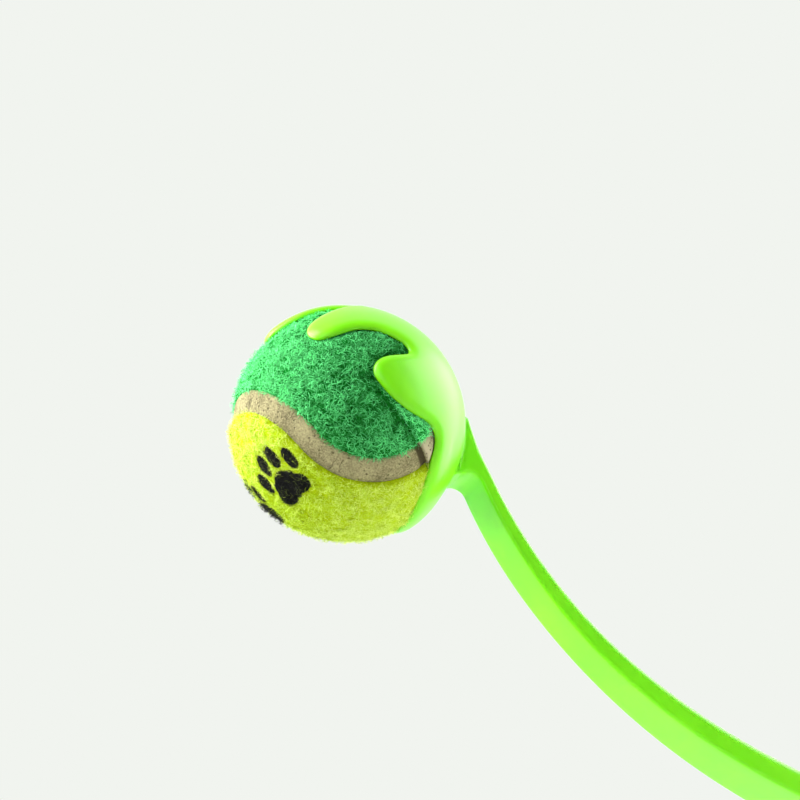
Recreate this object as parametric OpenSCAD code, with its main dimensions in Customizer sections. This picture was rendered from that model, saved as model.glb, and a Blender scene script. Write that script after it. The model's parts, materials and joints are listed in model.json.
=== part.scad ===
// Dog ball launcher: a springy curved stick with a fingered cup that holds a felt ball.
// Built about the ball's centre, then moved so that the middle of the hand grip is the origin.
// X points back, away from the cup's mouth, Z points up to the cup's top finger, and Y is across.

/* [Ball] */
// diameter of the ball over its nap, mm
ball_d = 64.6; // [60:0.1:70]
// height of the nap that stands above the felt, mm
nap = 1.55; // [0.5:0.05:2]
// thickness of the felt panels, mm
felt_t = 2.4; // [1.5:0.1:3.5]
// thickness of the rubber core's wall, mm
core_t = 3.4; // [2.5:0.1:5]
// width of the seam strip between the two panels, mm
seam_w = 6; // [3:0.1:8]
// how far the seam strip lies below the felt, mm
seam_drop = 0.5; // [0.2:0.1:1]
// tilt of each panel lobe from the ball's equator, degrees
lobe_tilt = 0; // [0:0.5:20]
// how the ball is turned in the cup, degrees about X, Y and Z
ball_turn = [-2.6, -5, -3.7]; // [-180:0.1:180]

/* [Cup] */
// gap between the felt and the cup's inside, mm
seat_gap = 0.55; // [0.4:0.05:1.5]
// wall of the cup, mm
cup_wall = 1.8; // [1.2:0.1:3]
// furthest that a finger or the lip reaches round the ball from the cup's back, degrees
cup_reach = 97; // [88:0.5:97]

/* [Arm] */
// width of the arm at the cup, mm
arm_w = 14.2; // [11:0.1:18]
// width of the arm at the handle, mm
arm_w_grip = 20.9; // [15:0.1:24]
// distance along the arm at which it starts to widen, mm
widen_from = 60; // [30:1:90]
// length over which the arm widens, mm
widen_len = 107; // [60:1:120]
// thickness of the arm at the cup, mm
arm_t_cup = 2.9; // [2:0.1:4.5]
// thickness of the arm at the handle, mm
arm_t_grip = 9.2; // [6:0.1:14]
// length of the arm along its curve, mm
arm_len = 300; // [220:1:380]
// bend radius of the arm where it leaves the cup, easing to straight at the handle, mm
bend_r = 119; // [100:1:160]
// lean of the arm where it leaves the cup, forward of straight down, degrees
neck_lean = 21.7; // [15:0.1:26]
// how far below the ball's centre the arm leaves the cup, as a share of the cup's radius
neck_drop = 0.505; // [0.48:0.005:0.58]
// radius of the fillet under the cup, mm
fillet_r = 4; // [2.5:0.1:6]

/* [Handle] */
// length of the handle, mm
grip_len = 122; // [105:1:150]
// width of the handle across the stick, mm
grip_w = 27; // [22:0.5:34]
// thickness of the handle, mm
grip_t = 23; // [18:0.5:28]
// depth of the finger grooves, mm
groove = 1.6; // [0:0.1:2.5]
// thickness of the flattened butt round the hang hole, mm
butt_t = 11; // [8:0.5:16]
// diameter of the hang hole, mm
hole_d = 8; // [5:0.1:10]
// distance of the hang hole from the butt, mm
hole_inset = 11; // [9:0.5:16]

/* [Hidden] */
$fn = 96;
// hairline left between glued or moulded faces
joint_gap = 0.04;
// butt gap between the two ends of the seam strip, degrees round a lobe
strip_gap = 0.3;
felt_r = ball_d / 2 - nap;
felt_in = felt_r - felt_t;
core_r = felt_in - joint_gap;
core_in = core_r - core_t;
cup_in = felt_r + seat_gap;
cup_r = cup_in + cup_wall;
// a size that clears the whole ball, for the shapes that cut it
beyond = 2 * cup_r;

// Rim of one half of the cup, from the top finger's middle round to the lip's middle.
// Each station is an azimuth about the cup's axis and a reach from the cup's back, degrees,
// drawn for a cup that reaches as far as drawn_reach.
drawn_reach = 97;
top_finger = [[0, 97], [6, 96.2], [11, 91.5], [14.5, 83.5], [18, 73], [21, 64.5], [23.6, 60.3]];
side_finger = [[26.3, 61.3], [29.5, 66.5], [32, 76], [33.6, 85], [35.8, 92], [39, 96.2],
               [43.5, 97], [48, 96.4], [51.4, 94], [53.6, 90], [55.4, 83.5], [58.6, 76.4],
               [63.3, 70.7], [69.9, 66.4], [75.6, 63.9], [79.2, 63.9], [82, 65.2]];
ear = [[83.4, 67.6], [83.7, 72], [83.9, 77], [84.2, 82.5], [84.9, 87], [86.4, 90.3], [89, 92.5],
       [92.3, 92.8], [97.2, 91.9], [103, 89.5], [110.4, 85.3], [117.7, 79.8], [123.8, 77.6]];
lip = [[128.6, 78], [133, 80.6], [138.6, 85.6], [147.6, 91.1], [157, 94.6], [168, 96.6],
       [180, 97]];
half_rim = concat(top_finger, side_finger, ear, lip);
last = len(half_rim) - 1;
// the other half is its mirror image, so the full rim runs once round the axis
full_rim = concat(half_rim, [for (i = [last - 1:-1:1]) [360 - half_rim[i][0], half_rim[i][1]]]);
count = len(full_rim);
function station(i) = full_rim[(i + count) % count] + [360 * floor(i / count), 0];
// a point halfway along the smooth curve through four stations
function halfway(i) = (9 * (station(i) + station(i + 1)) - station(i - 1) - station(i + 2)) / 16;
function reached(p) = [p[0], p[1] * cup_reach / drawn_reach];
rim = [for (i = [0:count - 1]) each [reached(station(i)), reached(halfway(i))]];

// The ears lean up towards the top finger: most at their tips, and fading to both sides. The
// lean, the azimuth and width of its middle, and the reach from which it grows, all in degrees.
ear_lean = 6;
ear_azimuth = 84;
ear_spread = 10;
ear_root = 62;
ear_height = 24;
function leant(azimuth, reach) =
    let (a = azimuth > 180 ? azimuth - 360 : azimuth, u = (abs(a) - ear_azimuth) / ear_spread)
    a - sign(a) * ear_lean * exp(-u * u) * ease((reach - ear_root) / ear_height);

// a direction that lies at a reach from the X axis and an azimuth from Z towards -Y
function aim(azimuth, reach) =
    let (a = leant(azimuth, reach)) [cos(reach), -sin(reach) * sin(a), sin(reach) * cos(a)];

// Arm's centre line: its bend eases evenly from the neck's radius to straight at the handle.
function lean(s) = -neck_lean + (s / bend_r) * (1 - s / (2 * arm_len)) * 180 / PI;
function thickness(s) = arm_t_cup + (arm_t_grip - arm_t_cup) * sin(90 * s / arm_len);
function ease(t) = let (u = max(0, min(1, t))) u * u * (3 - 2 * u);
function half_width(s) = (arm_w + (arm_w_grip - arm_w) * ease((s - widen_from) / widen_len)) / 2;
// the line starts just inside the cup's wall, so that the arm meets the cup all round
neck_sink = 0.4;
neck = (cup_r - neck_sink) * [sqrt(1 - neck_drop * neck_drop), -neck_drop];
steps = 60;
step = arm_len / steps;
function along(s) = [sin(lean(s)), -cos(lean(s))];
function across(s) = [cos(lean(s)), sin(lean(s))];
centre = [for (i = 0, p = neck; i <= steps; p = p + step * along((i + 0.5) * step), i = i + 1) p];
back_face = [for (i = [0:steps]) centre[i] + across(i * step) * thickness(i * step) / 2];
front_face = [for (i = [0:steps]) centre[i] - across(i * step) * thickness(i * step) / 2];
function between(pts, s) =
    let (k = min(steps - 1, floor(s / step)), f = s / step - k)
    pts[k] * (1 - f) + pts[k + 1] * f;
// the back face runs on up from the neck, straight to where it almost touches the cup
heel = back_face[0];
heel_lift = 0.4;
heel_turn = acos(min(1, (cup_r + heel_lift) / norm(heel))) + atan2(heel[1], heel[0]);
heel_end = (cup_r + heel_lift) * [cos(heel_turn), sin(heel_turn)];

// Centre of the fillet: as far from the cup as from the arm's front face.
function hollow(s) = between(front_face, s) - across(s) * fillet_r;
function find(lo, hi, tries) =
    let (mid = (lo + hi) / 2)
    tries == 0 ? mid
    : norm(hollow(mid)) < cup_r + fillet_r ? find(mid, hi, tries - 1) : find(lo, mid, tries - 1);
meet = find(0, arm_len / 3, 30);

// Handle: a straight run on from the arm, with its own frame along the grip.
grip_start = centre[steps];
grip_lean = lean(arm_len);
grip_dir = [sin(grip_lean), -cos(grip_lean)];
// the hand's middle, and the points below, are shares of the handle's length
hand_share = 0.46;
grip_mid = grip_start + grip_dir * grip_len * hand_share;
swell_share = 0.3;
flat_share = 0.66;
flatten_share = 0.24;
round_share = 0.93;
groove_first_share = 0.2;
groove_last_share = 0.8;
groove_pitch_share = 0.15;
// how much thinner the handle is at its middle than straight, mm
waist = 1.2;
rings = 44;
sides = 28;
// the handle swells from the arm's section, and flattens and closes towards the butt
function grip_half_w(t) =
    (arm_w_grip + (grip_w - arm_w_grip) * ease(t / swell_share)) / 2
    + (butt_t - grip_w) / 2 * ease((t - flat_share) / flatten_share);
function grip_half_t(t) =
    (arm_t_grip + (grip_t - arm_t_grip) * ease(t / swell_share)) / 2 - waist * sin(180 * t);
// the butt closes in a quarter round, left a little open so that its end is a flat
butt_open_share = 0.05;
function butt_round(t) =
    let (u = max(0, (t - round_share) / (1 - round_share)))
    sqrt(max(butt_open_share, 1 - u * u));
function dip(t) =
    t < groove_first_share || t > groove_last_share ? 0
    : groove * (0.5 - 0.5 * cos(360 * (t - groove_first_share) / groove_pitch_share));
// the section turns from the arm's oblong into an oval, as the power of a superellipse
oblong = 0.2;
oval = 0.75;
function squared(v, t) = sign(v) * pow(abs(v), oblong + (oval - oblong) * ease(t / swell_share));
// the butt keeps part of its thickness across the hang hole as it closes
butt_keep_share = 0.35;
function grip_point(t, a) = [
    squared(cos(a), t) * grip_half_t(t) * butt_round(t) - dip(t) * max(0, cos(a)),
    squared(sin(a), t) * grip_half_w(t) * (butt_keep_share + (1 - butt_keep_share) * butt_round(t)),
    t * grip_len];

module to_part() {
    translate([-grip_mid[0], 0, -grip_mid[1]])
        children();
}

module ball_place() {
    to_part()
        rotate(ball_turn)
            children();
}

// a spherical shell, with its poles turned away from the edges that are cut in it
module hollow_ball(outer, inner, turn) {
    difference() {
        rotate(turn)
            sphere(r = outer);
        rotate(turn)
            sphere(r = inner);
    }
}

// the solid angle that the cup covers, drawn out from the ball's centre past the cup
module cup_cone() {
    m = len(rim);
    shares = [0.34, 0.67, 1];
    rows = len(shares);
    points = concat([[0, 0, 0], [beyond, 0, 0]],
                    [for (k = shares) for (p = rim) beyond * aim(p[0], p[1] * k)]);
    function at(k, i) = 2 + k * m + i % m;
    walls = [for (i = [0:m - 1]) [0, at(rows - 1, i), at(rows - 1, i + 1)]];
    cap = [for (i = [0:m - 1]) [1, at(0, i + 1), at(0, i)]];
    skin = [for (k = [0:rows - 2]) for (i = [0:m - 1])
            each [[at(k, i), at(k, i + 1), at(k + 1, i + 1)],
                  [at(k, i), at(k + 1, i + 1), at(k + 1, i)]]];
    polyhedron(points, concat(walls, cap, skin));
}

// Cup: a springy spherical shell with a top finger, two side fingers, two ears and a lip below.
module cup() {
    color([0.56, 0.93, 0.24])
        to_part()
            intersection() {
                rotate([0, 90, 0])
                    hollow_ball(cup_r, cup_in, [0, 0, 20]);
                cup_cone();
            }
}

// the arm seen from the front: its two sides, run on past its ends
module arm_plan() {
    ends = [[half_width(0), cup_r], [half_width(arm_len), grip_start[1] - arm_t_grip]];
    side = concat([ends[0]], [for (i = [0:steps]) [half_width(i * step), centre[i][1]]], [ends[1]]);
    rotate([90, 0, 90])
        linear_extrude(height = 4 * arm_len, center = true)
            polygon(concat(side, [for (i = [len(side) - 1:-1:0]) [-side[i][0], side[i][1]]]));
}

// the arm seen from the side, with the fillet under the cup and the heel behind it
module arm_side() {
    pit = hollow(meet);
    rotate([90, 0, 0])
        linear_extrude(height = 2 * arm_w_grip, center = true)
            difference() {
                union() {
                    polygon(concat(back_face, [for (i = [steps:-1:0]) front_face[i]],
                                   [heel_end * 0.95, heel_end]));
                    polygon([neck * 0.9, between(centre, meet), pit, pit * cup_in / norm(pit)]);
                }
                translate(pit)
                    circle(r = fillet_r);
            }
}

// Arm: the flat springy strap that flexes as the stick is swung.
module arm() {
    color([0.52, 0.9, 0.22])
        to_part()
            difference() {
                intersection() {
                    arm_side();
                    arm_plan();
                }
                sphere(r = cup_r + joint_gap);
            }
}

// Handle: an oval grip with shallow finger grooves and a flattened butt.
module handle() {
    points = [for (k = [0:rings]) for (j = [0:sides - 1])
              grip_point(k / rings, 360 * j / sides)];
    function at(k, j) = k * sides + j % sides;
    skin = [for (k = [0:rings - 1]) for (j = [0:sides - 1])
            each [[at(k, j), at(k + 1, j), at(k + 1, j + 1)],
                  [at(k, j), at(k + 1, j + 1), at(k, j + 1)]]];
    first = [[for (j = [0:sides - 1]) at(0, j)]];
    final = [[for (j = [sides - 1:-1:0]) at(rings, j)]];
    color([0.52, 0.9, 0.22])
        to_part()
            translate([grip_start[0], 0, grip_start[1]])
                rotate([0, 180 - grip_lean, 0])
                    translate([0, 0, joint_gap])
                        difference() {
                            polyhedron(points, concat(first, skin, final));
                            translate([0, 0, grip_len - hole_inset])
                                rotate([90, 0, 0])
                                    cylinder(h = grip_w, d = hole_d, center = true);
                        }
}

// Ball core: two moulded rubber half shells cemented together.
module half_core() {
    intersection() {
        hollow_ball(core_r, core_in, [0, 0, 20]);
        translate([0, 0, joint_gap / 2])
            linear_extrude(height = beyond)
                square(2 * beyond, center = true);
    }
}

module ball_core_back() {
    color([0.16, 0.16, 0.17])
        ball_place()
            rotate([0, 90, 0])
                half_core();
}

module ball_core_front() {
    color([0.2, 0.2, 0.21])
        ball_place()
            rotate([0, -90, 0])
                half_core();
}

// Felt panels: two like dumb-bell shapes. In the ball's own frame the green panel's middle is
// at +Z and its lobes lie along Y, and the yellow panel's lobes lie along X.
lobe = acos(sqrt(0.5) * cos(lobe_tilt));
// angle round a lobe from its far end to where its edge runs on into the next lobe's
lobe_end = 90 + atan(sin(lobe_tilt));
ticks = 10;
first_tick = 2;
function tick(k) = first_tick + (lobe_end - first_tick) * k / ticks;
arc = concat([for (k = [ticks:-1:0]) tick(k)], [for (k = [0:ticks]) -tick(k)]);
turns = len(arc) - 1;
// the seam's middle line moved sideways, as an angle seen from the ball's centre
function shift(width) = width * 180 / (PI * felt_r);
// a direction on a circle round one of the green lobes, or round one of the yellow ones
function by_green(side, radius, a) =
    cos(radius) * [0, side * cos(lobe_tilt), -sin(lobe_tilt)]
    + sin(radius) * [sin(a), -cos(a) * side * sin(lobe_tilt), -cos(a) * cos(lobe_tilt)];
function by_yellow(side, radius, a) =
    cos(radius) * [side * cos(lobe_tilt), 0, sin(lobe_tilt)]
    + sin(radius) * [-cos(a) * side * sin(lobe_tilt), sin(a), cos(a) * cos(lobe_tilt)];
// one long edge of the green panel, from the end of one lobe past the waist to the other's
half_seam = shift(seam_w / 2);
edge = concat([for (k = [0:ticks]) by_green(1, lobe - half_seam, tick(k))],
              [for (i = [1:turns]) by_yellow(1, lobe + half_seam, arc[i])],
              [for (k = [ticks - 1:-1:0]) by_green(-1, lobe - half_seam, tick(k))]);
// half the widest facet, degrees: the inside corners stand out so that the facets clear the core
facet_half = 6;
felt_bed = felt_in / cos(facet_half);

// a closed sheet over a grid of directions, between an inner and an outer radius
module sheet(rows, columns, directions, outer, inner) {
    size = rows * columns;
    points = concat([for (d = directions) outer * d], [for (d = directions) inner * d]);
    function at(i, j, layer) = layer * size + i * columns + j;
    function quad(a, b, c, d) = [[a, b, c], [a, c, d]];
    skin = [for (i = [0:rows - 2]) for (j = [0:columns - 2])
            each concat(quad(at(i, j, 0), at(i, j + 1, 0), at(i + 1, j + 1, 0), at(i + 1, j, 0)),
                        quad(at(i, j, 1), at(i + 1, j, 1), at(i + 1, j + 1, 1), at(i, j + 1, 1)))];
    long_walls = [for (i = [0:rows - 2]) for (j = [0, columns - 1])
                  each j == 0
                  ? quad(at(i, j, 0), at(i + 1, j, 0), at(i + 1, j, 1), at(i, j, 1))
                  : quad(at(i, j, 0), at(i, j, 1), at(i + 1, j, 1), at(i + 1, j, 0))];
    end_walls = [for (j = [0:columns - 2]) for (i = [0, rows - 1])
                 each i == 0
                 ? quad(at(i, j, 0), at(i, j, 1), at(i, j + 1, 1), at(i, j + 1, 0))
                 : quad(at(i, j, 0), at(i, j + 1, 0), at(i, j + 1, 1), at(i, j, 1))];
    polyhedron(points, concat(skin, long_walls, end_walls));
}

// the panel runs across from one long edge to its mirror image
module panel() {
    columns = 11;
    directions = [for (p = edge)
                  for (j = [0:columns - 1])
                  let (long = atan2(p[1], p[2]), wide = asin(p[0]) * (1 - 2 * j / (columns - 1)))
                  [sin(wide), cos(wide) * sin(long), cos(wide) * cos(long)]];
    sheet(len(edge), columns, directions, felt_r, felt_bed);
}

module felt_green() {
    color([0.16, 0.66, 0.33])
        ball_place()
            panel();
}

module felt_yellow() {
    color([0.84, 0.92, 0.22])
        ball_place()
            rotate([180, 0, 90])
                panel();
}

// Seam strip: tan tape laid in the groove between the two panels, its ends meeting in a lap.
module seam_strip() {
    half = shift(seam_w / 2 - joint_gap);
    columns = 5;
    offsets = [for (j = [0:columns - 1]) half * (1 - 2 * j / (columns - 1))];
    directions = concat(
        [for (i = [0:turns]) for (m = offsets) by_green(1, lobe + m, -arc[i])],
        [for (i = [1:turns]) for (m = offsets) by_yellow(1, lobe - m, arc[i])],
        [for (i = [1:turns]) for (m = offsets) by_green(-1, lobe + m, arc[i])],
        [for (i = [1:turns - 1]) for (m = offsets) by_yellow(-1, lobe - m, -arc[i])],
        [for (m = offsets) by_yellow(-1, lobe - m, lobe_end - strip_gap)]);
    color([0.72, 0.62, 0.48])
        ball_place()
            sheet(len(directions) / columns, columns, directions, felt_r - seam_drop, felt_bed);
}

cup();
arm();
handle();
ball_core_back();
ball_core_front();
felt_green();
felt_yellow();
seam_strip();
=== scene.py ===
import json
import bmesh
import bpy
import numpy as np
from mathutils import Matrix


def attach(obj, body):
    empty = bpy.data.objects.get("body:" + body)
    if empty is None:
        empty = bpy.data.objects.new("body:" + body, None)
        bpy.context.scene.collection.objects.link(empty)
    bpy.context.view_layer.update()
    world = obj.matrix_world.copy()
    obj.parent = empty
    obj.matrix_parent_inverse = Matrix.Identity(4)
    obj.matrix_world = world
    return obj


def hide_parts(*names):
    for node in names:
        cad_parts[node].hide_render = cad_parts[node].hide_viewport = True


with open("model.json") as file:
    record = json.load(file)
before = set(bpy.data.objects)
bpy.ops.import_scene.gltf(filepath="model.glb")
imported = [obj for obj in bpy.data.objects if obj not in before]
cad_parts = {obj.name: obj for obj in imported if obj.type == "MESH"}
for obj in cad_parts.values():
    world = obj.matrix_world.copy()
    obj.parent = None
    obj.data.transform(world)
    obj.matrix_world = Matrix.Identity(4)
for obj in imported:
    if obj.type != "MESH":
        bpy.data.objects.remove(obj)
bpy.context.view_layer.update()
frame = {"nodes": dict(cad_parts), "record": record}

# Ball core: two moulded half shells of matt black rubber, cemented edge to edge.
# The felt hides them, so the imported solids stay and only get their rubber.
rubber_dark, rubber_pale = (34, 34, 36), (52, 52, 54)


def linear(red, green, blue):
    """A colour given as eight-bit screen values, as the linear light that Blender works in."""
    c = np.array([red, green, blue]) / 255
    return tuple(np.where(c < 0.04045, c / 12.92, ((c + 0.055) / 1.055) ** 2.4).tolist())


class Sock:
    """One output socket of a node tree. Arithmetic on it adds Math nodes to the same tree."""

    def __init__(self, tree, socket):
        self.tree = tree
        self.socket = socket

    def add(self, kind, settings=(), inputs=(), out=0):
        """Adds a node of that kind, sets its settings, then gives its sockets values or links."""
        node = self.tree.nodes.new(kind)
        for name, value in dict(settings).items():
            setattr(node, name, value)
        for key, value in dict(inputs).items():
            if isinstance(value, Sock):
                self.tree.links.new(value.socket, node.inputs[key])
            else:
                node.inputs[key].default_value = value
        return Sock(self.tree, node.outputs[out])

    def math(self, operation, first, second=0.0):
        """A Math node on two values or sockets."""
        return self.add("ShaderNodeMath", {"operation": operation}, {0: first, 1: second})

    def __add__(self, other):
        return self.math("ADD", self, other)

    def __radd__(self, other):
        return self.math("ADD", other, self)

    def __sub__(self, other):
        return self.math("SUBTRACT", self, other)

    def __rsub__(self, other):
        return self.math("SUBTRACT", other, self)

    def __mul__(self, other):
        return self.math("MULTIPLY", self, other)

    def __rmul__(self, other):
        return self.math("MULTIPLY", other, self)

    def __truediv__(self, other):
        return self.math("DIVIDE", self, other)

    def __pow__(self, other):
        return self.math("POWER", self, other)

    def __abs__(self):
        return self.math("ABSOLUTE", self)

    def step(self, low, high):
        """0 below low and 1 above high, with a smooth rise between."""
        return self.add("ShaderNodeMapRange", {"interpolation_type": "SMOOTHSTEP"},
                        {0: self, 1: low, 2: high})

    def noise(self, scale, detail=2.0, rough=0.5, warp=0.0):
        """A noise texture read at this vector."""
        return self.add("ShaderNodeTexNoise", (), {"Vector": self, "Scale": scale, "Detail": detail,
                                                   "Roughness": rough, "Distortion": warp})

    def dot(self, axis):
        """How far this vector reaches along an axis."""
        return self.add("ShaderNodeVectorMath", {"operation": "DOT_PRODUCT"},
                        {0: self, 1: axis.tolist()}, 1)

    def mark(self, name):
        """The value that the piece carries under that name at each of its points."""
        return self.add("ShaderNodeAttribute", {"attribute_name": name}, (), 2)

    def tint(self, first, second):
        """The first colour where this value is 0, the second where it is 1. Each is a socket or
        eight-bit screen values."""
        ends = [c if isinstance(c, Sock) else (*linear(*c), 1) for c in (first, second)]
        return self.add("ShaderNodeMix", {"data_type": "RGBA"},
                        {0: self, 6: ends[0], 7: ends[1]}, 2)

    def bump(self, strength, distance):
        """A normal that leans as if this value were a height."""
        return self.add("ShaderNodeBump", (), {"Strength": strength, "Distance": distance,
                                               "Height": self})


def finish_of(name, **constants):
    """A new material: its Object coordinates, and a call that fills its shader's sockets."""
    material = bpy.data.materials.new(name)
    material.use_nodes = True
    tree = material.node_tree
    shader = tree.nodes["Principled BSDF"]
    for key, value in constants.items():
        shader.inputs[key.replace("_", " ")].default_value = value
    here = tree.nodes.new("ShaderNodeTexCoord").outputs["Object"]

    def fill(**links):
        for key, value in links.items():
            tree.links.new(value.socket, shader.inputs[key.replace("_", " ")])
        return material
    return Sock(tree, here), fill


here, fill = finish_of("core_rubber", Roughness=0.8)
speck = here.noise(900, detail=3)
core_rubber = fill(Base_Color=speck.tint(rubber_dark, rubber_pale),
                   Normal=speck.bump(strength=0.3, distance=0.0002))
for node in ("ball_core_back", "ball_core_front"):
    frame["nodes"][node].data.materials.clear()
    frame["nodes"][node].data.materials.append(core_rubber)

# Seam strip: a tan rubbery tape laid in the groove between the two felt panels.
# Its surface is pitted and cracked, coloured darker in its pits and cracks, and its ends lap over
# each other beside the cup. The upper end is painted paler as painted light, and the tape beside it
# carries a painted shadow of the lap.
seat = np.array(next(m["pos_m"] for m in frame["record"]["mounts"] if m["name"] == "ball_seat"))
ball_turn = np.radians([-2.6, -5.0, -3.7])
felt_radius = 0.03075
strip_half, strip_top, strip_bed = 0.0039, 0.0315, 0.0285
strip_roll, strip_roll_power = 0.0009, 6
strip_under = 0.9
quarter_run = 0.068  # length of a quarter of the loop
lap_from, lap_to, lap_step = 2.38, 2.483, 0.0006
lap_rise, lap_sag = 0.0009, 0.3
# Width and fade of the painted shadow beside the lap, in metres.
lap_shade, lap_shade_fade = 0.0026, 0.0012
tape_press_from, tape_press_over = 0.0006, 0.0016
ear_at, ear_spread = 84, 10  # degrees
ear_tilt, tilt_from, tilt_over = np.radians(6), 62, 24  # the last two in degrees
tape_dark, tape_pale = (117, 109, 76), (191, 182, 134)
# Painted light on the lapped end, painted shadow beside it, and the darker colour of pits and
# cracks.
tape_lapped_lit, tape_shaded, tape_pit = (197, 186, 151), (84, 75, 51), (76, 67, 45)


def turned(angles):
    """The matrix of three turns, about X, then Y, then Z."""
    (a, b, c), (d, e, f) = np.cos(angles), np.sin(angles)
    about_x = np.array([[1, 0, 0], [0, a, -d], [0, d, a]])
    about_y = np.array([[b, 0, e], [0, 1, 0], [-e, 0, b]])
    about_z = np.array([[c, -f, 0], [f, c, 0], [0, 0, 1]])
    return about_z @ about_y @ about_x


ball_axes = turned(ball_turn)


def ease(x):
    """0 below 0 and 1 above 1, with a smooth rise between."""
    x = np.clip(x, 0, 1)
    return x * x * (3 - 2 * x)


def seam(turn, aside):
    """Directions on the seam: four half circles of 45 degrees about the lobes' middles, taken
    in order as turn goes from 0 to 4, and widened or narrowed by the angle aside towards the
    yellow panel."""
    turn, aside = np.broadcast_arrays(turn, aside)
    arc = np.floor(turn) % 4
    a = np.pi * (turn % 1 - 0.5) * np.where((arc == 0) | (arc == 3), 1, -1)
    about_green = arc % 2 == 0
    lobe = np.where(arc < 2, 1, -1)
    radius = np.pi / 4 + np.where(about_green, aside, -aside)
    along, up = np.sin(radius) * np.sin(a), np.sin(radius) * np.cos(a)
    middle = lobe * np.cos(radius)
    return np.stack([np.where(about_green, along, middle), np.where(about_green, middle, along),
                     np.where(about_green, -up, up)], -1) @ ball_axes.T


# The cup's rim, which presses the nap and the tape flat where it covers them: azimuth about
# the cup's axis and reach from the cup's back, degrees, over one half. Each round of the loop
# puts a point between every two, on the cubic through the four nearest.
half_rim = np.array([
    (0, 99.5), (6, 98.6), (11, 93.3), (14.5, 84.5), (18, 73), (21, 64.5), (23.6, 60.3),
    (26.3, 61.3), (29.5, 66.5), (32, 76), (33.5, 85), (35.2, 92.6), (37.8, 97), (41.2, 99.2),
    (45, 99.8), (48.6, 98.9), (51.3, 96.2), (53.2, 92), (54.7, 86.5), (56.1, 81.2), (58.6, 76.4),
    (63.3, 70.7), (69.9, 66.4), (75.6, 63.9), (79.2, 63.9), (82, 65.2), (83.45, 67.6), (83.75, 72),
    (83.9, 77), (84.2, 82.5), (84.9, 87), (86.4, 90.3), (89, 92.5), (92.3, 92.8), (97.2, 91.9),
    (103, 89.5), (110.4, 85.35), (117.7, 79.8), (123.8, 77.6), (128.6, 78), (133, 80.6),
    (138.6, 85.6), (147.6, 91.1), (157, 94.6), (168, 96.6), (180, 97)])
rim = np.concatenate([half_rim, (360, 0) + (-1, 1) * half_rim[-2:0:-1]])
for _ in range(5):
    around = np.concatenate([rim[-1:] - (360, 0), rim, rim[:2] + (360, 0)])
    between = (9 * (around[1:-2] + around[2:-1]) - around[:-3] - around[3:]) / 16
    rim = np.stack([rim, between], 1).reshape(-1, 2)
rim_azimuth, rim_reach = np.radians(rim).T


def within_half(angle):
    """The same angle, brought to between minus and plus half a turn."""
    return (angle + np.pi) % (2 * np.pi) - np.pi


def ear_lean(azimuth, reach):
    """How far the ears lean up towards the top finger: most at their tips, fading to both
    sides."""
    turn = within_half(azimuth)
    beside = np.exp(-((np.degrees(np.abs(turn)) - ear_at) / ear_spread) ** 2)
    return ear_tilt * ease((np.degrees(reach) - tilt_from) / tilt_over) * beside * np.sign(turn)


def aim(azimuth, reach):
    """Directions at a reach from the cup's axis and an azimuth from its top, with the ears'
    lean."""
    azimuth = azimuth - ear_lean(azimuth, reach)
    return np.stack([np.cos(reach) + 0 * azimuth, -np.sin(reach) * np.sin(azimuth),
                     np.sin(reach) * np.cos(azimuth)], -1)


def aimed(direction):
    """The azimuth and reach that aim turns into each direction, by taking its lean off again."""
    reach = np.arccos(np.clip(direction[..., 0], -1, 1))
    leant = np.arctan2(-direction[..., 1], direction[..., 2])
    azimuth = leant
    for _ in range(4):
        azimuth = leant + ear_lean(azimuth, reach)
    return azimuth, reach


def clear_of_cup(direction):
    """How far each direction lies outside the cup's rim, in metres on the felt, or inside it
    as a negative number: the nearest of every fourth rim point, signed by the reach. The work
    goes in 40 parts to save memory."""
    azimuth, reach = aimed(direction)
    edge = aim(rim_azimuth, rim_reach)[::4]
    near = np.concatenate([(part @ edge.T).max(-1)
                           for part in np.array_split(direction.reshape(-1, 3), 40)])
    away = felt_radius * np.arccos(np.clip(near, -1, 1)).reshape(reach.shape)
    outside = reach > np.interp(azimuth, rim_azimuth, rim_reach, period=2 * np.pi)
    return np.where(outside, away, -away)


def grid(rows, columns, close_rows=False, close_columns=False):
    """Four-sided faces of a grid of points, joined up at its ends where it is closed."""
    i = np.arange(rows if close_rows else rows - 1)[:, None]
    j = np.arange(columns if close_columns else columns - 1)[None]
    i2, j2 = (i + 1) % rows, (j + 1) % columns
    return np.stack([i * columns + j, i * columns + j2, i2 * columns + j2, i2 * columns + j],
                    -1).reshape(-1, 4)


def piece(name, points, faces, material, body, slot, *nodes, **marks):
    """A smooth mesh object from points and four-sided faces, with a value per point for each
    mark. It rides on the body and stands for the nodes."""
    mesh = bpy.data.meshes.new(name)
    mesh.vertices.add(len(points))
    mesh.vertices.foreach_set("co", np.asarray(points, np.float32).ravel())
    mesh.loops.add(faces.size)
    mesh.loops.foreach_set("vertex_index", faces.astype(np.int32).ravel())
    mesh.polygons.add(len(faces))
    mesh.polygons.foreach_set("loop_start", np.arange(0, faces.size, 4, dtype=np.int32))
    mesh.polygons.foreach_set("use_smooth", np.ones(len(faces), bool))
    for mark, values in marks.items():
        layer = mesh.attributes.new(mark, "FLOAT", "POINT")
        layer.data.foreach_set("value", np.asarray(values, np.float32).ravel())
    mesh.update(calc_edges=True)
    mesh.materials.append(material)
    thing = bpy.data.objects.new(name, mesh)
    bpy.context.scene.collection.objects.link(thing)
    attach(thing, body)
    if nodes:
        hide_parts(*nodes)
    return thing


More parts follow.
